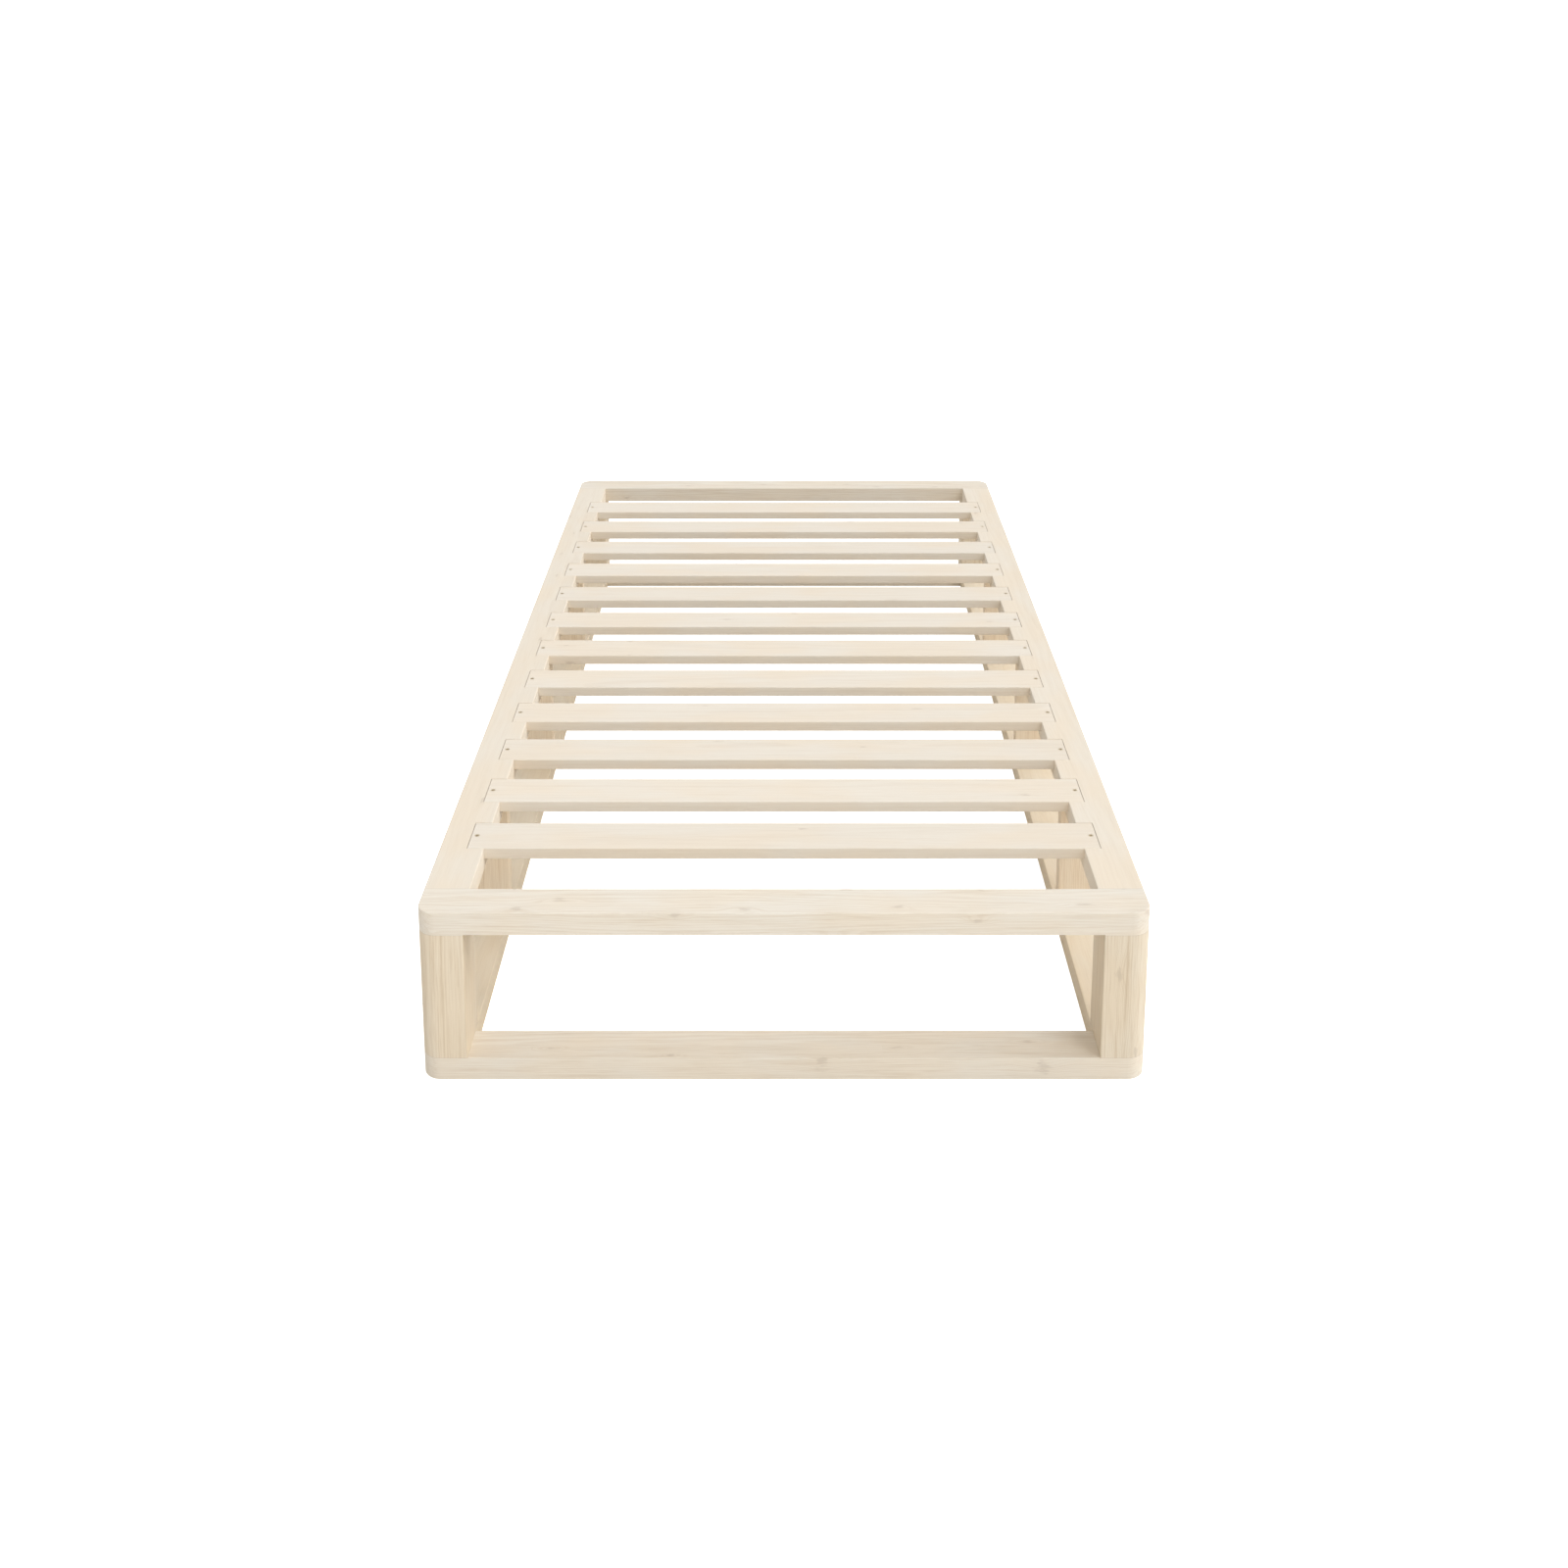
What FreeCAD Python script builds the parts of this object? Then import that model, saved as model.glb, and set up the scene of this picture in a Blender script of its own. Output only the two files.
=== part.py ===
"""Wooden bed frame: a low slatted single bed of planed softwood.

Two rectangles of flat rails, one on the floor and one under the mattress, are held apart by
posts at the corners and by uprights along the sides.  Twelve slats lie flush in housings cut
in the upper side rails.  Every joint is pinned with hidden dowels.

Millimetres.  +Z is up, the bed's length runs along Y and its width along X.  The origin is on
the floor, in the middle of the bed.
"""
import FreeCAD
import Part
import os

# ---- driving dimensions -------------------------------------------------------------------
LENGTH = 2000.0
WIDTH = 1000.0
HEIGHT = 252.0

RAIL_WIDTH = 64.0            # width of every rail, seen from above
RAIL_THICKNESS = 33.0
CORNER_RADIUS = 26.0         # rounding of the bed's corners, seen from above
EASED = 1.5                  # rounding of the exposed long edges

POST_DEPTH = 83.0            # along the bed: past the end rail, to carry the side rail's end
UPRIGHT_DEPTH = 25.0
UPRIGHTS_PER_SIDE = 3
FIRST_UPRIGHT = 396.0        # front end of the bed to the middle of the first upright
UPRIGHT_PITCH = 525.0

SLAT_COUNT = 12
SLAT_WIDTH = 76.0
SLAT_THICKNESS = 17.0
SLAT_BEARING = 24.0          # how far a slat reaches over each side rail
SLAT_END_PLAY = 0.8          # gap at each end of a slat, inside its housing
SLAT_SIDE_PLAY = 0.3         # gap at each long edge of a slat, inside its housing
END_GAP = 112.0              # clear opening between an end rail and the nearest slat

SCREW_LENGTH = 30.0
SCREW_SHANK = 4.0
SCREW_HEAD = 7.5
SCREW_HEAD_DEPTH = 2.6
SCREW_TIP = 4.0
SCREW_SETBACK = 8.0          # slat end to the middle of the screw
RECESS_SPAN = 4.4            # cross recess in the screw head
RECESS_SLOT = 0.9
RECESS_DEPTH = 1.2

DOWEL_DIAMETER = 10.0
DOWEL_LENGTH = 50.0
DOWEL_SPACING = 26.0         # between the two dowels of a pair
DOWEL_CHAMFER = 1.0
POST_DOWEL_INSET = 25.0      # end of the bed to the dowels over the corner posts
POST_DOWEL_IN_RAIL = 22.0    # how far a dowel enters the rail
UPRIGHT_DOWEL_IN_RAIL = 12.0  # less here, to stay under the slat housings
HOLE_SPARE = 1.0             # empty depth past each end of a dowel

# ---- worked out from them -----------------------------------------------------------------
HALF_LENGTH = LENGTH / 2
HALF_WIDTH = WIDTH / 2
INNER_X = HALF_WIDTH - RAIL_WIDTH            # inner faces of the side rails
INNER_Y = HALF_LENGTH - RAIL_WIDTH           # inner faces of the end rails
POST_INNER_Y = HALF_LENGTH - POST_DEPTH
LOWER_TOP = RAIL_THICKNESS                   # top of the lower rails
UPPER_BOTTOM = HEIGHT - RAIL_THICKNESS       # underside of the upper rails
HOUSING_FLOOR = HEIGHT - SLAT_THICKNESS
SLAT_HALF_LENGTH = INNER_X + SLAT_BEARING
FIRST_SLAT_Y = -INNER_Y + END_GAP + SLAT_WIDTH / 2
SLAT_PITCH = (LENGTH - 2 * RAIL_WIDTH - 2 * END_GAP - SLAT_WIDTH) / (SLAT_COUNT - 1)

AXES = {"x": FreeCAD.Vector(1, 0, 0), "y": FreeCAD.Vector(0, 1, 0), "z": FreeCAD.Vector(0, 0, 1)}
SIDES = {"left": -1, "right": 1}
ENDS = {"front": -1, "back": 1}


def vector(x, y, z):
    return FreeCAD.Vector(x, y, z)


def block(low, high):
    """A box between two opposite corners, whichever way round they are."""
    corner = vector(*(min(a, b) for a, b in zip(low, high)))
    size = [abs(a - b) for a, b in zip(low, high)]
    return Part.makeBox(size[0], size[1], size[2], corner)


def joined(pieces):
    """One shape made of pieces that touch or overlap."""
    return pieces[0].fuse(list(pieces[1:])).removeSplitter()


def easing_cutter(axis, start, stop, edge, inward):
    """What a rounding plane takes off one straight edge between two stations of an axis.

    edge holds the edge's two coordinates on the other axes, and inward the two signs that
    point from the edge into the wood.
    """
    others = [name for name in "xyz" if name != axis]
    low = {axis: start, others[0]: edge[0], others[1]: edge[1]}
    centre = {axis: start}
    high = {axis: stop}
    for name, place, sign in zip(others, edge, inward):
        low[name] = place - sign * EASED
        centre[name] = place + sign * EASED
        high[name] = place + sign * EASED
    strip = block([low[name] for name in "xyz"], [high[name] for name in "xyz"])
    rounding = Part.makeCylinder(EASED, stop - start, vector(*(centre[n] for n in "xyz")), AXES[axis])
    return strip.cut(rounding)


def stretches(stops, start, end):
    """The free stretches between start and end that are left by a list of (low, high) stops."""
    free = []
    place = start
    for low, high in sorted(stops):
        if low > place:
            free.append((place, low))
        place = max(place, high)
    if end > place:
        free.append((place, end))
    return free


def upright_centres():
    return [-HALF_LENGTH + FIRST_UPRIGHT + i * UPRIGHT_PITCH for i in range(UPRIGHTS_PER_SIDE)]


def slat_centres():
    return [FIRST_SLAT_Y + i * SLAT_PITCH for i in range(SLAT_COUNT)]


def round_outer_corners(shape, corners):
    """Round the upright edges that stand at the given (x, y) corners."""
    picked = []
    for edge in shape.Edges:
        ends = [vertex.Point for vertex in edge.Vertexes]
        upright = abs(ends[0].x - ends[-1].x) + abs(ends[0].y - ends[-1].y) < 1e-6
        at_corner = any(abs(ends[0].x - x) + abs(ends[0].y - y) < 1e-6 for x, y in corners)
        if upright and at_corner:
            picked.append(edge)
    return shape.makeFillet(CORNER_RADIUS, picked)


def ease_outer_rim(shape, z, joint_plane_y):
    """Ease the rim of an end rail at height z, all round except along the joint plane."""
    rim = []
    for edge in shape.Edges:
        points = edge.discretize(5)
        level = all(abs(point.z - z) < 1e-6 for point in points)
        on_joint = all(abs(point.y - joint_plane_y) < 1e-6 for point in points)
        if level and not on_joint:
            rim.append(edge)
    return shape.makeFillet(EASED, rim)


# ---- fasteners ----------------------------------------------------------------------------
def dowel(centre, axis, length=DOWEL_LENGTH):
    """A plain wooden dowel with chamfered ends, centred on a point."""
    direction = AXES[axis]
    start = centre - direction * (length / 2)
    radius = DOWEL_DIAMETER / 2
    tip = radius - DOWEL_CHAMFER
    body_start = start + direction * DOWEL_CHAMFER
    body_end = start + direction * (length - DOWEL_CHAMFER)
    body = Part.makeCylinder(radius, length - 2 * DOWEL_CHAMFER, body_start, direction)
    near = Part.makeCone(tip, radius, DOWEL_CHAMFER, start, direction)
    far = Part.makeCone(radius, tip, DOWEL_CHAMFER, body_end, direction)
    return joined([body, near, far])


def dowel_hole(centre, axis, length=DOWEL_LENGTH):
    """The bore that a dowel sits in, a little deeper at both ends."""
    direction = AXES[axis]
    depth = length + 2 * HOLE_SPARE
    return Part.makeCylinder(DOWEL_DIAMETER / 2, depth, centre - direction * (depth / 2), direction)


def corner_dowel_places():
    """Upright dowels between every post and the end rails above and below it."""
    places = []
    for side in SIDES.values():
        for end in ENDS.values():
            for seam in (LOWER_TOP, UPPER_BOTTOM):
                for step in (-0.5, 0.5):
                    x = side * (INNER_X + RAIL_WIDTH / 2 + step * DOWEL_SPACING)
                    y = end * (HALF_LENGTH - POST_DOWEL_INSET)
                    places.append(vector(x, y, seam))
    return places


def rail_dowel_places():
    """Level dowels that pin the side rails' ends to the end rails."""
    places = []
    for side in SIDES.values():
        for end in ENDS.values():
            for level in (RAIL_THICKNESS / 2, HEIGHT - RAIL_THICKNESS / 2):
                for step in (-0.5, 0.5):
                    x = side * (INNER_X + RAIL_WIDTH / 2 + step * DOWEL_SPACING)
                    places.append(vector(x, end * INNER_Y, level))
    return places


def upright_dowel_places():
    """Upright dowels at the foot and the head of every side upright."""
    places = []
    for side in SIDES.values():
        for y in upright_centres():
            for seam in (LOWER_TOP, UPPER_BOTTOM):
                for step in (-0.5, 0.5):
                    x = side * (INNER_X + RAIL_WIDTH / 2 + step * DOWEL_SPACING)
                    places.append(vector(x, y, seam))
    return places


def seam_dowel_centre(place, in_rail):
    """Middle of an upright dowel that enters the rail by a set depth and the post by the rest."""
    towards_post = 1 if place.z < HEIGHT / 2 else -1
    return place + vector(0, 0, towards_post * (DOWEL_LENGTH / 2 - in_rail))


def screw(x, y):
    """A countersunk wood screw, its head flush with the top of the slat."""
    down = vector(0, 0, -1)
    top = vector(x, y, HEIGHT)
    shank_length = SCREW_LENGTH - SCREW_HEAD_DEPTH - SCREW_TIP
    head = Part.makeCone(SCREW_HEAD / 2, SCREW_SHANK / 2, SCREW_HEAD_DEPTH, top, down)
    shank_top = top + down * SCREW_HEAD_DEPTH
    shank = Part.makeCylinder(SCREW_SHANK / 2, shank_length, shank_top, down)
    tip_top = shank_top + down * shank_length
    tip = Part.makeCone(SCREW_SHANK / 2, 0, SCREW_TIP, tip_top, down)
    return joined([head, shank, tip])


def cross_recess(x, y):
    """The cross-shaped driver recess in a screw head."""
    half = RECESS_SPAN / 2
    slot = RECESS_SLOT / 2
    bottom = HEIGHT - RECESS_DEPTH
    top = HEIGHT + RECESS_DEPTH
    along_x = block((x - half, y - slot, bottom), (x + half, y + slot, top))
    along_y = block((x - slot, y - half, bottom), (x + slot, y + half, top))
    return joined([along_x, along_y])


def screw_places():
    x = SLAT_HALF_LENGTH - SCREW_SETBACK
    return [(side * x, y) for side in SIDES.values() for y in slat_centres()]


# ---- rails --------------------------------------------------------------------------------
def end_rail(end, level):
    """A rail across an end of the bed, full width, with both outer corners rounded."""
    low_z, high_z = level
    upper = high_z > HEIGHT / 2
    outer_y = end * HALF_LENGTH
    inner_y = end * INNER_Y
    rail = block((-HALF_WIDTH, outer_y, low_z), (HALF_WIDTH, inner_y, high_z))
    rail = round_outer_corners(rail, [(-HALF_WIDTH, outer_y), (HALF_WIDTH, outer_y)])
    rail = ease_outer_rim(rail, high_z if upper else low_z, inner_y)
    outer_z = high_z if upper else low_z
    seam_z = low_z if upper else high_z
    into_outer = -1 if upper else 1
    cutters = [
        easing_cutter("x", -INNER_X, INNER_X, (inner_y, outer_z), (end, into_outer)),
        easing_cutter("x", -INNER_X, INNER_X, (inner_y, seam_z), (end, -into_outer)),
        easing_cutter("x", -INNER_X, INNER_X, (outer_y, seam_z), (-end, -into_outer)),
    ]
    return rail.cut(cutters)


def side_rail(side, level):
    """A rail along a side of the bed, butted between the end rails."""
    low_z, high_z = level
    upper = high_z > HEIGHT / 2
    outer_x = side * HALF_WIDTH
    inner_x = side * INNER_X
    rail = block((outer_x, -INNER_Y, low_z), (inner_x, INNER_Y, high_z))
    outer_z = high_z if upper else low_z
    seam_z = low_z if upper else high_z
    into_outer = -1 if upper else 1
    cutters = [
        easing_cutter("y", -INNER_Y, INNER_Y, (outer_x, outer_z), (-side, into_outer)),
        easing_cutter("y", -INNER_Y, INNER_Y, (inner_x, outer_z), (side, into_outer)),
    ]
    half = UPRIGHT_DEPTH / 2
    uprights = [(y - half, y + half) for y in upright_centres()]
    for start, stop in stretches(uprights, -POST_INNER_Y, POST_INNER_Y):
        cutters.append(easing_cutter("y", start, stop, (outer_x, seam_z), (-side, -into_outer)))
        cutters.append(easing_cutter("y", start, stop, (inner_x, seam_z), (side, -into_outer)))
    if upper:
        cutters += [slat_housing(side, y) for y in slat_centres()]
    return rail.cut(cutters)


def slat_housing(side, y):
    """The pocket in an upper side rail that a slat's end drops into."""
    half = SLAT_WIDTH / 2 + SLAT_SIDE_PLAY
    far_x = side * (SLAT_HALF_LENGTH + SLAT_END_PLAY)
    return block((side * (INNER_X - 1), y - half, HOUSING_FLOOR), (far_x, y + half, HEIGHT + 1))


# ---- posts, uprights and slats ------------------------------------------------------------
def corner_post(side, end):
    """A post under a corner: flush with the rails, rounded with them on its outer corner."""
    outer_x = side * HALF_WIDTH
    inner_x = side * INNER_X
    outer_y = end * HALF_LENGTH
    inner_y = end * POST_INNER_Y
    post = block((outer_x, outer_y, LOWER_TOP), (inner_x, inner_y, UPPER_BOTTOM))
    post = round_outer_corners(post, [(outer_x, outer_y)])
    cutters = [
        easing_cutter("z", LOWER_TOP, UPPER_BOTTOM, (inner_x, outer_y), (side, -end)),
        easing_cutter("z", LOWER_TOP, UPPER_BOTTOM, (inner_x, inner_y), (side, end)),
        easing_cutter("z", LOWER_TOP, UPPER_BOTTOM, (outer_x, inner_y), (-side, end)),
    ]
    return post.cut(cutters)


def upright(side, y):
    """A flat board that stands between the two side rails."""
    outer_x = side * HALF_WIDTH
    inner_x = side * INNER_X
    half = UPRIGHT_DEPTH / 2
    board = block((outer_x, y - half, LOWER_TOP), (inner_x, y + half, UPPER_BOTTOM))
    cutters = []
    for face in (-1, 1):
        edge_y = y + face * half
        cutters.append(easing_cutter("z", LOWER_TOP, UPPER_BOTTOM, (outer_x, edge_y), (-side, -face)))
        cutters.append(easing_cutter("z", LOWER_TOP, UPPER_BOTTOM, (inner_x, edge_y), (side, -face)))
    return board.cut(cutters)


def slat(y):
    """A flat board across the bed with eased long edges."""
    x = SLAT_HALF_LENGTH
    board = block((-x, y - SLAT_WIDTH / 2, HOUSING_FLOOR), (x, y + SLAT_WIDTH / 2, HEIGHT))
    cutters = []
    for face in (-1, 1):
        edge_y = y + face * SLAT_WIDTH / 2
        cutters.append(easing_cutter("x", -x, x, (edge_y, HEIGHT), (-face, -1)))
        cutters.append(easing_cutter("x", -x, x, (edge_y, HOUSING_FLOOR), (-face, 1)))
    return board.cut(cutters)


# ---- assembly -----------------------------------------------------------------------------
def wooden_pieces():
    """Every board of the bed by name, before it is drilled."""
    lower = (0.0, LOWER_TOP)
    upper = (UPPER_BOTTOM, HEIGHT)
    pieces = {}
    for end_name, end in ENDS.items():
        pieces[end_name + "_lower_rail"] = end_rail(end, lower)
        pieces[end_name + "_upper_rail"] = end_rail(end, upper)
    for side_name, side in SIDES.items():
        pieces[side_name + "_lower_rail"] = side_rail(side, lower)
        pieces[side_name + "_upper_rail"] = side_rail(side, upper)
        for end_name, end in ENDS.items():
            pieces[end_name + "_" + side_name + "_post"] = corner_post(side, end)
        for number, y in enumerate(upright_centres(), 1):
            pieces[side_name + "_upright_" + str(number)] = upright(side, y)
    for number, y in enumerate(slat_centres(), 1):
        pieces["slat_" + str(number).zfill(2)] = slat(y)
    return pieces


def fasteners():
    """Every group of dowels and screws by name, and the bores that the boards need for them."""
    at_posts = [seam_dowel_centre(p, POST_DOWEL_IN_RAIL) for p in corner_dowel_places()]
    at_uprights = [seam_dowel_centre(p, UPRIGHT_DOWEL_IN_RAIL) for p in upright_dowel_places()]
    at_rail_ends = rail_dowel_places()
    screws = [screw(x, y) for x, y in screw_places()]
    groups = {
        "post_dowels": [dowel(centre, "z") for centre in at_posts],
        "upright_dowels": [dowel(centre, "z") for centre in at_uprights],
        "rail_dowels": [dowel(centre, "y") for centre in at_rail_ends],
        "slat_screws": [body.cut(cross_recess(x, y)) for body, (x, y) in zip(screws, screw_places())],
    }
    bores = [dowel_hole(centre, "z") for centre in at_posts + at_uprights]
    bores += [dowel_hole(centre, "y") for centre in at_rail_ends]
    return groups, bores + screws


def drilled(board, bores):
    """The board with every bore that reaches it taken out."""
    near = [bore for bore in bores if board.BoundBox.intersect(bore.BoundBox)]
    return board.cut(near) if near else board


def single_solid(name, shape):
    """The one solid of a board, or a clear stop if it isn't one."""
    if len(shape.Solids) != 1 or not shape.isValid():
        raise ValueError(name + " is not one valid solid")
    return shape.Solids[0]


def main():
    os.makedirs("parts", exist_ok=True)
    groups, bores = fasteners()
    for name, board in wooden_pieces().items():
        solid = single_solid(name, drilled(board, bores))
        solid.exportStep("parts/" + name + ".step")
    for name, pieces in groups.items():
        group = Part.makeCompound([single_solid(name, piece) for piece in pieces])
        group.exportStep("parts/" + name + ".step")


main()
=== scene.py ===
"""The looks of the wooden bed frame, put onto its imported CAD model.  Metres, +Z up."""
import math
import random
from collections import namedtuple

import bpy
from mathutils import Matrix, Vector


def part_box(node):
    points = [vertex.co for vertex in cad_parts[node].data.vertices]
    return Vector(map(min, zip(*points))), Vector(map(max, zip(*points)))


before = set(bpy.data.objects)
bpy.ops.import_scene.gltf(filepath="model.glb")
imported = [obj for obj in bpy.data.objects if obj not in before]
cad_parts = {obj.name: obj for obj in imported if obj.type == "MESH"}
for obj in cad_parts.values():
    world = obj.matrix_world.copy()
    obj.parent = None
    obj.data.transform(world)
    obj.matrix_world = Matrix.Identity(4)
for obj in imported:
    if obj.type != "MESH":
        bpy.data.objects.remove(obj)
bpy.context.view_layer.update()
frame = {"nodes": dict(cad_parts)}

AXIS_X, AXIS_Y, AXIS_Z = "x", "y", "z"
# Which axes of the bed lie along the grain, across it and across it, for a board along each axis.
GRAIN_ORDER = {AXIS_X: (0, 1, 2), AXIS_Y: (1, 0, 2), AXIS_Z: (2, 0, 1)}
NOISE_MIDDLE = (0.3, 0.7)             # where most values of a noise lie


# ---- small helpers for shader nodes -------------------------------------------------------
class Shader:
    """Adds nodes to a new material, one call each, and gives back the socket to carry on from."""

    def __init__(self, name):
        self.material = bpy.data.materials.new(name)
        self.material.use_nodes = True
        self.tree = self.material.node_tree
        self.tree.nodes.clear()

    def add(self, kind, inputs, output=0, **settings):
        """A node of a kind; inputs are values or sockets by place or name."""
        node = self.tree.nodes.new("ShaderNode" + kind)
        for key, value in settings.items():
            setattr(node, key, value)
        for key, value in inputs.items():
            self.feed(node.inputs[key], value)
        return node.outputs[output]

    def feed(self, socket, value):
        if isinstance(value, bpy.types.NodeSocket):
            self.tree.links.new(value, socket)
        else:
            socket.default_value = value

    def place(self):
        """Where on the bed the surface is, in metres."""
        return self.add("TexCoord", {}, output="Object")

    def math(self, operation, first, second=0.0, third=0.0):
        return self.add("Math", {0: first, 1: second, 2: third}, operation=operation)

    def vector(self, operation, first, second):
        return self.add("VectorMath", {0: first, 1: second}, operation=operation)

    def length(self, vector):
        return self.add("VectorMath", {0: vector}, output="Value", operation="LENGTH")

    def combine(self, x=0.0, y=0.0, z=0.0):
        return self.add("CombineXYZ", {0: x, 1: y, 2: z})

    def separate(self, vector):
        """The three components of a vector."""
        return self.add("SeparateXYZ", {0: vector}).node.outputs

    def ramp(self, value, low, high, to_low=0.0, to_high=1.0):
        """value carried smoothly from low..high to to_low..to_high."""
        inputs = {0: value, 1: low, 2: high, 3: to_low, 4: to_high}
        return self.add("MapRange", inputs, interpolation_type="SMOOTHSTEP")

    def noise(self, place, detail=2.0, roughness=0.5, output=0):
        inputs = {"Vector": place, "Scale": 1.0, "Detail": detail, "Roughness": roughness}
        return self.add("TexNoise", inputs, output)

    def stretched_noise(self, place, waves, detail=2.0, roughness=0.5, output=0):
        """Noise with its own number of waves per metre along each axis."""
        return self.noise(self.vector("MULTIPLY", place, waves), detail, roughness, output)

    def mix(self, amount, first, second):
        """A mix of two colours."""
        return self.add("Mix", {0: amount, 6: first, 7: second}, output=2, data_type="RGBA")

    def surface(self, **settings):
        """Ends the material in a Principled surface; its input names have _ for each space."""
        inputs = {key.replace("_", " "): value for key, value in settings.items()}
        shader = self.add("BsdfPrincipled", inputs)
        output = self.tree.nodes.new("ShaderNodeOutputMaterial")
        self.tree.links.new(shader, output.inputs["Surface"])
        return self.material


def opaque(colour, factor=1.0):
    return tuple(channel * factor for channel in colour) + (1.0,)


def tinted(colour, tint):
    return tuple(channel * hue for channel, hue in zip(colour, tint))


# ---- wood ---------------------------------------------------------------------------------
EARLY_WOOD = (0.815, 0.725, 0.580)    # pale spring wood
LATE_WOOD = (0.630, 0.490, 0.325)     # the darker line that closes each year
KNOT_WOOD = (0.300, 0.210, 0.145)
END_WOOD = (0.740, 0.640, 0.490)      # end grain, which drinks in more light
JOINT_SHADOW_AND_DIRT = (0.300, 0.230, 0.160)    # a butt joint's thin dark line: painted shade of the hairline gap, with the dirt such a joint gathers
WARM_TINT = (1.01, 0.975, 0.93)       # early wood's warmer patches, beside the paler ones

# How each kind of board was cut: width of a year, strength of the grain, share of the knot cells
# that hold one, whether its rings stand square to the bed's ends, and colour beside the rest,
# which is partly the kind's own tone and partly painted light.
Cut = namedtuple("Cut", "year grain knots quartered tint")
# Painted light in the tints: they stand in for the brighter, darker or warmer light each kind
# gets where it stands, most of all the uprights' lift for the warm light bounced between the
# boards inside the frame.
CUTS = {
    "slat": Cut(0.0042, 0.55, 0.12, False, (1.00, 1.015, 1.06)),
    "end rail": Cut(0.0032, 1.25, 0.80, False, (0.99, 1.02, 1.08)),
    "upper side rail": Cut(0.0036, 0.45, 0.22, False, (1.00, 1.005, 1.03)),
    "lower side rail": Cut(0.0036, 0.60, 0.22, False, (1.01, 1.00, 0.975)),
    "post": Cut(0.0024, 1.8, 0.12, True, (0.96, 0.95, 0.93)),
    "upright": Cut(0.0026, 1.6, 0.15, True, (1.11, 1.075, 1.04)),
}

# Where in a tree a board was cut, drawn by lot from these ranges.
Growth = namedtuple("Growth", "shift pith lean shade")
FIRST_SEED = 11
SHIFT_REACH = 40                      # sets each board's noise apart from the others'
PITH_NEAR = (0.010, 0.045)            # the pith's distance from the middle, one way across
PITH_FAR = (0.060, 0.110)             # and the other way, which puts it outside the board
LEAN_REACH = 0.012                    # slope of the pith along the board
SHADES = (0.985, 1.01)                # brightness of the whole board

# How the grain strays sideways: waves per metre along and across it, how far, and detail.
Stray = namedtuple("Stray", "waves reach detail")
BEND = Stray((1.6, 6.0, 6.0), 0.026, 2.0)
RIPPLE = Stray((11.0, 45.0, 45.0), 0.0030, 3.0)

# Knots, with lengths along the grain and across it.
KNOT_CELL = (0.125, 0.040)            # at most one knot to a cell
KNOT_CORE = (0.0065, 0.0022)          # half the length and width of a middling knot
KNOT_SWIRL = (0.038, 0.0070)          # half the length and width of the grain it bends
KNOT_SMALLEST = 0.6                   # beside a middling one
KNOT_SIZE_SPREAD = 0.8
KNOT_EDGE = (0.20, 1.40)              # the core fades between these, beside its half size
FRAY_WAVES = (70.0, 260.0, 260.0)
FRAY_REACH = 0.6                      # how ragged that edge is, beside its half size
CORE_STRENGTH = 0.20
SWIRL_STRENGTH = 0.10

# Growth rings.
RING_SWELL = 0.0060                   # how far they bulge round a knot
GROWTH_WAVES = 60.0                   # good and bad years, in waves per metre out from the pith
GROWTH_DETAIL = 1.0
GROWTH_SPREAD = 3.0                   # years by which they shift the rings
LATE_RISE = (0.20, 0.85)              # the part of a year over which its wood darkens
LATE_FALL = (0.88, 1.0)               # and over which it turns pale again
FAINTEST_YEAR = 0.30                  # beside the strongest
LATE_STRENGTH = 0.26
END_LATE_STRENGTH = 0.60              # on bare end grain

# Marks along the grain: waves per metre, detail and roughness of their noise, the range of it
# over which they fade in, and how strongly they show.
Marks = namedtuple("Marks", "waves detail roughness low high strength")
STREAKS = Marks((7.0, 160.0, 160.0), 4.0, 0.70, 0.48, 0.76, 0.38)
FIBRES = Marks((22.0, 700.0, 700.0), 2.0, 0.6, 0.45, 0.75, 0.22)
PALE_FIBRES = Marks((9.0, 420.0, 420.0), 2.0, 0.6, 0.55, 0.75, 0.30)
PALE_LIFT = 1.05                      # brightness of a pale fibre beside early wood
PATCH_WAVES = (6.0, 14.0, 14.0)       # slow changes of colour
PATCH_EDGE = (0.35, 0.65)

# A board's end band, and how strongly the painted joint shade, with some dirt, darkens it at butt
# joints.
SEAM_WIDTH = 0.0009
JOINT_SHADE_STRENGTH = 0.35
WOOD_ROUGHNESS = (0.58, 0.48)         # of early wood and of late wood, which planes smoother
FIBRE_ROUGHNESS = 0.12                # what the fibres add to it
FIBRE_RELIEF = 0.6                    # beside that of the late wood
WOOD_RELIEF = 0.00015
WOOD_BUMP = 0.30
WOOD_SPECULAR = 0.30


def place_in_board(shader, axis, middle):
    """Place from the middle of a board, as (along the grain, across it, across it)."""
    parts = shader.separate(shader.vector("SUBTRACT", shader.place(), middle))
    return shader.combine(*(parts[component] for component in GRAIN_ORDER[axis]))


def wander(shader, place, stray):
    """A sideways displacement of up to about half of the stray's reach."""
    moved = shader.stretched_noise(place, stray.waves, stray.detail, output="Color")
    moved = shader.vector("SUBTRACT", moved, (0.5, 0.5, 0.5))
    return shader.vector("MULTIPLY", moved, (0.0, stray.reach, stray.reach))


def draw_growth(cut, seed):
    draw = random.Random(seed)
    shift = tuple(draw.uniform(-SHIFT_REACH, SHIFT_REACH) for _ in range(3))
    near = draw.choice((-1, 1)) * draw.uniform(*PITH_NEAR)
    far = draw.choice((-1, 1)) * draw.uniform(*PITH_FAR)
    pith = (0.0, far, near) if cut.quartered else (0.0, near, far)
    lean = draw.uniform(-LEAN_REACH, LEAN_REACH)
    return Growth(shift, pith, lean, draw.uniform(*SHADES))


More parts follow.
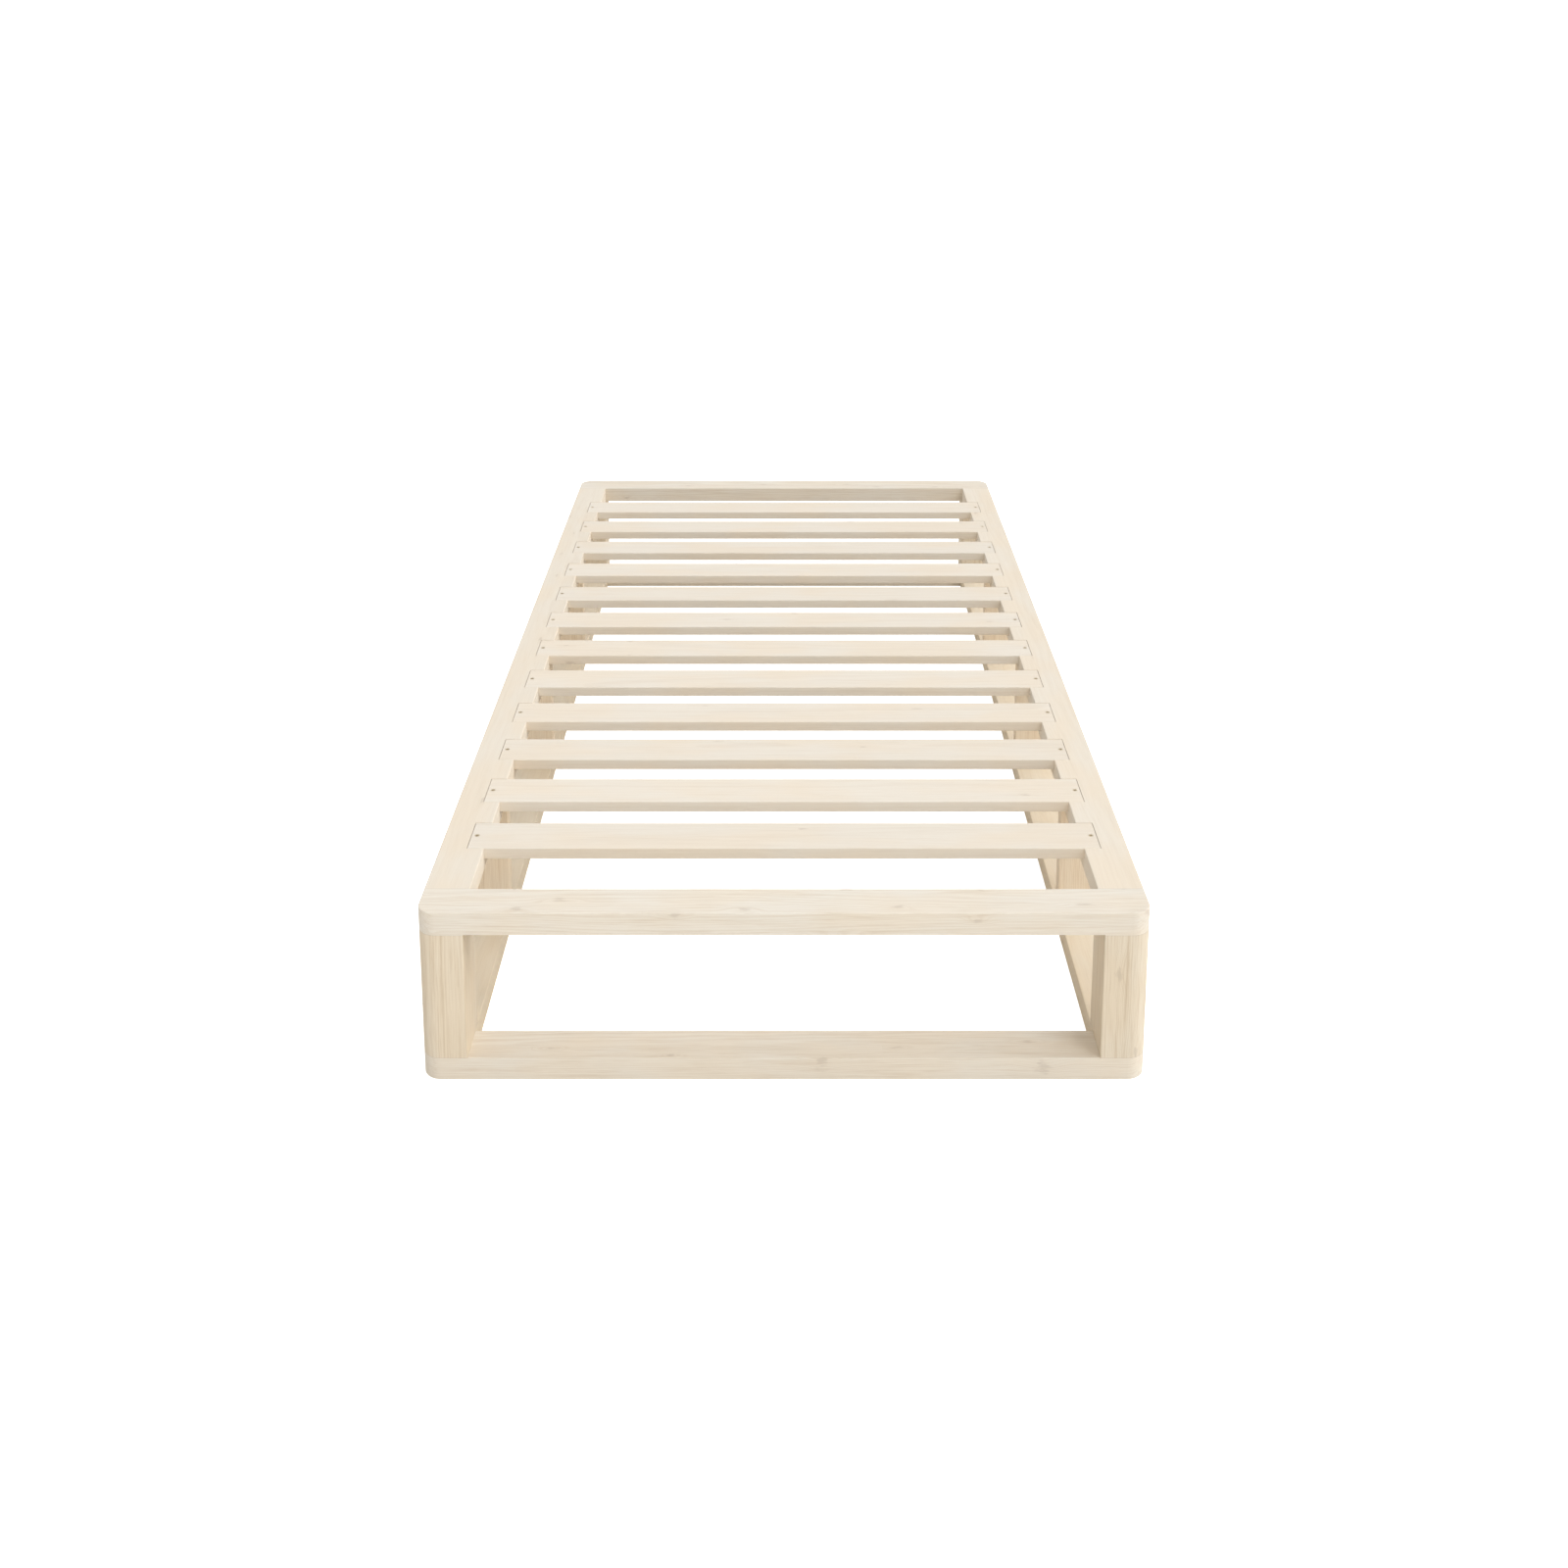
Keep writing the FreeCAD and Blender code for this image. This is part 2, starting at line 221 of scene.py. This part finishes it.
def knots(shader, along, arc, shift, share, rough_edge):
    """(dark core, bent grain) of the knots, each 0 to 1."""
    cell_length, cell_width = KNOT_CELL
    place = shader.combine(shader.math("DIVIDE", along, cell_length),
                           shader.math("DIVIDE", arc, cell_width))
    place = shader.vector("ADD", place, shift)
    cells = shader.add("TexVoronoi", {"Vector": place, "Scale": 1.0},
                       voronoi_dimensions="2D").node.outputs
    lot = shader.add("SeparateColor", {0: cells["Color"]}).node.outputs
    present = shader.math("LESS_THAN", lot[0], share)
    size = shader.math("MULTIPLY_ADD", lot[1], KNOT_SIZE_SPREAD, KNOT_SMALLEST)
    from_knot = shader.vector("SUBTRACT", place, cells["Position"])
    reaches = []
    for half_length, half_width in (KNOT_CORE, KNOT_SWIRL):
        to_halves = (cell_length / half_length, cell_width / half_width, 0.0)
        reach = shader.length(shader.vector("MULTIPLY", from_knot, to_halves))
        reaches.append(shader.math("DIVIDE", reach, size))
    core = shader.ramp(shader.math("ADD", reaches[0], rough_edge), *KNOT_EDGE, 1.0, 0.0)
    swirl = shader.ramp(reaches[1], 0.0, 1.0, 1.0, 0.0)
    return shader.math("MULTIPLY", core, present), shader.math("MULTIPLY", swirl, present)


def late_wood(shader, radius, year_width, offset):
    """How much of the year's dark line is here, 0 to 1, in rings of uneven width and strength."""
    outward = shader.math("MULTIPLY", radius, GROWTH_WAVES)
    unevenness = shader.noise(shader.combine(outward, offset), GROWTH_DETAIL)
    rings = shader.math("DIVIDE", radius, year_width)
    rings = shader.math("MULTIPLY_ADD", unevenness, GROWTH_SPREAD, rings)
    phase = shader.math("FRACT", rings)
    late = shader.math("MULTIPLY", shader.ramp(phase, *LATE_RISE),
                       shader.ramp(phase, *LATE_FALL, 1.0, 0.0))
    year = shader.add("TexWhiteNoise", {"W": shader.math("FLOOR", rings)}, noise_dimensions="1D")
    return shader.math("MULTIPLY", late, shader.ramp(year, 0.0, 1.0, FAINTEST_YEAR, 1.0))


def pine(name, axis, middle, length, cut, bare_ends, seed):
    """Planed pine.  Its growth rings are cylinders round a pith that lies outside the board, and
    its knots are branches that run out from the pith, so every face shows the cut it would."""
    growth = draw_growth(cut, seed)
    shader = Shader(name)
    place = place_in_board(shader, axis, middle)
    own_place = shader.vector("ADD", place, growth.shift)
    bend = wander(shader, own_place, BEND)
    ripple = wander(shader, own_place, RIPPLE)

    # place in the tree: along it, out from the pith, and round it
    grown = shader.vector("ADD", shader.vector("ADD", place, growth.pith), bend)
    along, across, through = shader.separate(shader.vector("ADD", grown, ripple))
    through = shader.math("MULTIPLY_ADD", along, growth.lean, through)
    radius = shader.length(shader.combine(0.0, across, through))
    arc = shader.math("MULTIPLY", shader.math("ARCTAN2", across, through),
                      math.hypot(*growth.pith))

    fray = shader.stretched_noise(own_place, FRAY_WAVES)
    fray = shader.ramp(fray, *NOISE_MIDDLE, -FRAY_REACH, FRAY_REACH)
    core, swirl = knots(shader, along, arc, growth.shift, cut.knots, fray)
    radius = shader.math("MULTIPLY_ADD", swirl, RING_SWELL, radius)
    late = late_wood(shader, radius, cut.year, growth.shift[0])

    # colour: early wood in paler and warmer patches, then what is darker or paler on it
    def marks_noise(marks, where):
        return shader.stretched_noise(where, marks.waves, marks.detail, marks.roughness)

    def marked(colour, marks, noise, mark_colour):
        amount = shader.ramp(noise, marks.low, marks.high, 0.0, marks.strength * cut.grain)
        return shader.mix(amount, colour, mark_colour)

    bent_place = shader.vector("ADD", own_place, ripple)
    fibre = marks_noise(FIBRES, own_place)
    patch = shader.ramp(shader.stretched_noise(own_place, PATCH_WAVES), *PATCH_EDGE)
    # the kind's tint carries painted light as well as the wood's own tone
    early = tuple(channel * growth.shade for channel in tinted(EARLY_WOOD, cut.tint))
    dark = opaque(tinted(LATE_WOOD, cut.tint), growth.shade)
    colour = shader.mix(patch, opaque(early), opaque(tinted(early, WARM_TINT)))
    colour = shader.mix(shader.math("MULTIPLY", late, LATE_STRENGTH * cut.grain), colour, dark)
    colour = marked(colour, STREAKS, marks_noise(STREAKS, bent_place), dark)
    colour = marked(colour, FIBRES, fibre, dark)
    colour = marked(colour, PALE_FIBRES, marks_noise(PALE_FIBRES, bent_place),
                    opaque(early, PALE_LIFT))
    colour = shader.mix(shader.math("MULTIPLY", swirl, SWIRL_STRENGTH), colour, dark)
    colour = shader.mix(shader.math("MULTIPLY", core, CORE_STRENGTH), colour, opaque(KNOT_WOOD))

    # the board's ends: a thin dark line of painted shade and dirt where they butt against a
    # neighbour, or bare end grain
    to_end = shader.math("ABSOLUTE", shader.separate(place)[0])
    at_end = shader.ramp(to_end, length / 2 - SEAM_WIDTH, length / 2)
    if bare_ends:
        end_late = shader.math("MULTIPLY", late, END_LATE_STRENGTH)
        colour = shader.mix(at_end, colour, shader.mix(end_late, opaque(END_WOOD), dark))
    else:
        # painted shade: this dark line stands in for the shadow in the joint's hairline gap, with
        # some dirt in it
        painted_joint_shade = shader.math("MULTIPLY", at_end, JOINT_SHADE_STRENGTH)
        colour = shader.mix(painted_joint_shade, colour, opaque(JOINT_SHADOW_AND_DIRT))

    roughness = shader.math("MULTIPLY_ADD", fibre, FIBRE_ROUGHNESS,
                            shader.ramp(late, 0.0, 1.0, *WOOD_ROUGHNESS))
    height = shader.math("MULTIPLY_ADD", fibre, FIBRE_RELIEF, late)
    bump = shader.add("Bump", {"Strength": WOOD_BUMP, "Distance": WOOD_RELIEF, "Height": height})
    return shader.surface(Base_Color=colour, Roughness=roughness, Normal=bump,
                          Specular_IOR_Level=WOOD_SPECULAR)


def dress(node, material):
    """Gives a CAD node a material in place of the one it was packed with."""
    for slot in frame["nodes"][node].material_slots:
        slot.material = material


def kind_of(node):
    """Which of the CUTS a CAD node is, or None for the dowels and screws."""
    if node.startswith("slat_") and node != "slat_screws":
        return "slat"
    if node.endswith("_rail"):
        if node.startswith(("front_", "back_")):
            return "end rail"
        return "lower side rail" if "_lower_" in node else "upper side rail"
    if node.endswith("_post"):
        return "post"
    if node.startswith(("left_upright", "right_upright")):
        return "upright"
    return None


def dress_boards():
    boards = sorted(filter(kind_of, frame["nodes"]))
    for seed, node in enumerate(boards, FIRST_SEED):
        low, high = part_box(node)
        length, axis = max(zip(high - low, (AXIS_X, AXIS_Y, AXIS_Z)))
        middle = (low + high) / 2
        kind = kind_of(node)
        bare_ends = kind == "end rail"
        dress(node, pine("pine_" + node, axis, middle, length, CUTS[kind], bare_ends, seed))


# ---- dowels and screws --------------------------------------------------------------------
BEECH = (0.52, 0.33, 0.19)
BEECH_DARK = (0.42, 0.25, 0.13)
BEECH_FLECK = (0.24, 0.12, 0.06)
BEECH_FIBRE_WAVES = (25.0, 700.0, 700.0)
BEECH_FLECK_WAVES = (260.0, 1600.0, 1600.0)
BEECH_FLECK_EDGE = (0.62, 0.72)
BEECH_FLECK_STRENGTH = 0.6
BEECH_ROUGHNESS = (0.62, 0.74)
BEECH_RELIEF = 0.0001
BEECH_BUMP = 0.3

PLATING = (0.86, 0.74, 0.52)
PLATING_DULL = (0.76, 0.64, 0.44)
PLATING_CLOUD_WAVES = (420.0, 420.0, 420.0)
PLATING_SCRATCH_WAVES = (3000.0, 400.0, 400.0)
PLATING_ROUGHNESS = (0.30, 0.48)
PLATING_RELIEF = 0.00005
PLATING_BUMP = 0.2


def beech(name, axis):
    """Raw beech dowel rod: fine even grain with short dark flecks."""
    shader = Shader(name)
    place = place_in_board(shader, axis, (0.0, 0.0, 0.0))
    fibre = shader.stretched_noise(place, BEECH_FIBRE_WAVES, 3.0)
    fleck = shader.stretched_noise(place, BEECH_FLECK_WAVES, 1.0)
    fleck = shader.ramp(fleck, *BEECH_FLECK_EDGE, 0.0, BEECH_FLECK_STRENGTH)
    colour = shader.mix(shader.ramp(fibre, *NOISE_MIDDLE), opaque(BEECH), opaque(BEECH_DARK))
    colour = shader.mix(fleck, colour, opaque(BEECH_FLECK))
    roughness = shader.ramp(fibre, *NOISE_MIDDLE, *BEECH_ROUGHNESS)
    bump = shader.add("Bump", {"Strength": BEECH_BUMP, "Distance": BEECH_RELIEF, "Height": fibre})
    return shader.surface(Base_Color=colour, Roughness=roughness, Normal=bump)


def plated_steel(name):
    """Yellow-passivated steel, a little uneven in colour and gloss."""
    shader = Shader(name)
    place = shader.place()
    cloud = shader.stretched_noise(place, PLATING_CLOUD_WAVES, 3.0)
    scratch = shader.stretched_noise(place, PLATING_SCRATCH_WAVES, 2.0)
    colour = shader.mix(shader.ramp(cloud, *NOISE_MIDDLE), opaque(PLATING), opaque(PLATING_DULL))
    roughness = shader.ramp(scratch, *NOISE_MIDDLE, *PLATING_ROUGHNESS)
    bump = shader.add("Bump", {"Strength": PLATING_BUMP, "Distance": PLATING_RELIEF,
                               "Height": scratch})
    return shader.surface(Base_Color=colour, Roughness=roughness, Normal=bump, Metallic=1.0)


def dress_fasteners():
    upright_rod = beech("beech_upright", AXIS_Z)
    dress("post_dowels", upright_rod)
    dress("upright_dowels", upright_rod)
    dress("rail_dowels", beech("beech_level", AXIS_Y))
    dress("slat_screws", plated_steel("screw_plating"))


# ---- the studio ---------------------------------------------------------------------------
FLOOR_REACH = 300.0                   # far enough that its edge stays out of the picture
FLOOR_DROP = 0.0002                   # keeps the floor just clear of the lower rails
FLOOR_COLOUR = (0.78, 0.75, 0.70)
FLOOR_CLOUD_WAVES = (3.0, 3.0, 3.0)
FLOOR_CLOUD_SHADE = 0.99
FLOOR_ROUGHNESS = 0.9
FLOOR_GLOW = 1.0
WHITE = (1.0, 1.0, 1.0)
DAYLIGHT = (0.98, 1.00, 1.04)
SUN_SPREAD = math.radians(28)
# Soft suns as (direction round the bed from +X, height, strength), the first two in degrees.
SUNS = {
    "low_right": (0, 25, 1.15),
    "front_right": (-45, 45, 0.66),
    "back_right": (45, 45, 0.12),
    "left": (180, 55, 0.19),
    "high_back": (55, 70, 0.50),
}
SOFTBOX_PLACE = (0.0, -3.2, 0.65)     # before the front end, so its light fades along the bed
SOFTBOX_TILT = math.radians(13)       # below the horizon
SOFTBOX_SIDE = 1.2
SOFTBOX_POWER = 8.6                   # W
# The sky's brightness by the height of the direction, from 0 at the horizon to 1 straight up.
SKY = ((0.0, 0.95), (0.35, 0.31), (0.7, 0.90), (1.0, 0.25))


def lay_floor():
    """A plain floor.  Its own glow reaches nothing but the floor."""
    mesh = bpy.data.meshes.new("floor")
    reach = FLOOR_REACH
    corners = [(-reach, -reach), (reach, -reach), (reach, reach), (-reach, reach)]
    mesh.from_pydata([(x, y, -FLOOR_DROP) for x, y in corners], [], [(0, 1, 2, 3)])
    floor = bpy.data.objects.new("floor", mesh)
    bpy.context.scene.collection.objects.link(floor)
    shader = Shader("floor_white")
    cloud = shader.stretched_noise(shader.place(), FLOOR_CLOUD_WAVES)
    colour = shader.mix(cloud, opaque(FLOOR_COLOUR), opaque(FLOOR_COLOUR, FLOOR_CLOUD_SHADE))
    floor.data.materials.append(shader.surface(Base_Color=colour, Roughness=FLOOR_ROUGHNESS,
                                               Emission_Color=opaque(WHITE),
                                               Emission_Strength=FLOOR_GLOW))
    glow_reaches = bpy.data.collections.new("floor_glow_reaches")
    glow_reaches.objects.link(floor)
    floor.light_linking.receiver_collection = glow_reaches


def add_light(name, kind, strength):
    data = bpy.data.lights.new(name, kind)
    data.energy = strength
    data.color = DAYLIGHT
    light = bpy.data.objects.new(name, data)
    light.visible_camera = False
    bpy.context.scene.collection.objects.link(light)
    return light


def light_bed():
    for name, (around, height, strength) in SUNS.items():
        sun = add_light("sun_" + name, "SUN", strength)
        sun.data.angle = SUN_SPREAD
        sun.rotation_euler = (0.0, math.radians(90 - height), math.radians(around))
    softbox = add_light("softbox", "AREA", SOFTBOX_POWER)
    softbox.data.size = SOFTBOX_SIDE
    softbox.location = SOFTBOX_PLACE
    softbox.rotation_euler = (math.pi / 2 - SOFTBOX_TILT, 0.0, 0.0)


def light_sky():
    world = bpy.data.worlds.new("studio_white")
    world.use_nodes = True
    tree = world.node_tree
    place = tree.nodes.new("ShaderNodeTexCoord")
    parts = tree.nodes.new("ShaderNodeSeparateXYZ")
    ramp = tree.nodes.new("ShaderNodeValToRGB")
    elements = ramp.color_ramp.elements
    while len(elements) < len(SKY):
        elements.new(0.5)
    for element, (height, brightness) in zip(elements, SKY):
        element.position = height
        element.color = opaque(DAYLIGHT, brightness)
    tree.links.new(place.outputs["Generated"], parts.inputs[0])
    tree.links.new(parts.outputs["Z"], ramp.inputs[0])
    tree.links.new(ramp.outputs["Color"], tree.nodes["Background"].inputs["Color"])
    bpy.context.scene.world = world


# ---- the camera ---------------------------------------------------------------------------
IMAGE_SIDE = 1600                     # px, square
FOCAL_PIXELS = 1773.3
SENSOR = 36.0                         # mm
CAMERA_PLACE = (0.0, -3.1430, 1.5139)
CAMERA_PITCH = math.radians(11.45)    # below the horizon
CAMERA_SHIFT = -0.30                  # without it the pitch, and the posts' lean, would be more


def set_camera():
    data = bpy.data.cameras.new("camera")
    data.sensor_width = SENSOR
    data.lens = FOCAL_PIXELS / IMAGE_SIDE * SENSOR
    data.shift_y = CAMERA_SHIFT
    camera = bpy.data.objects.new("camera", data)
    camera.location = CAMERA_PLACE
    camera.rotation_euler = (math.pi / 2 - CAMERA_PITCH, 0.0, 0.0)
    bpy.context.scene.collection.objects.link(camera)
    bpy.context.scene.camera = camera
    bpy.context.scene.view_settings.view_transform = "Standard"


# ---- build --------------------------------------------------------------------------------
dress_boards()
dress_fasteners()
lay_floor()
light_bed()
light_sky()
set_camera()
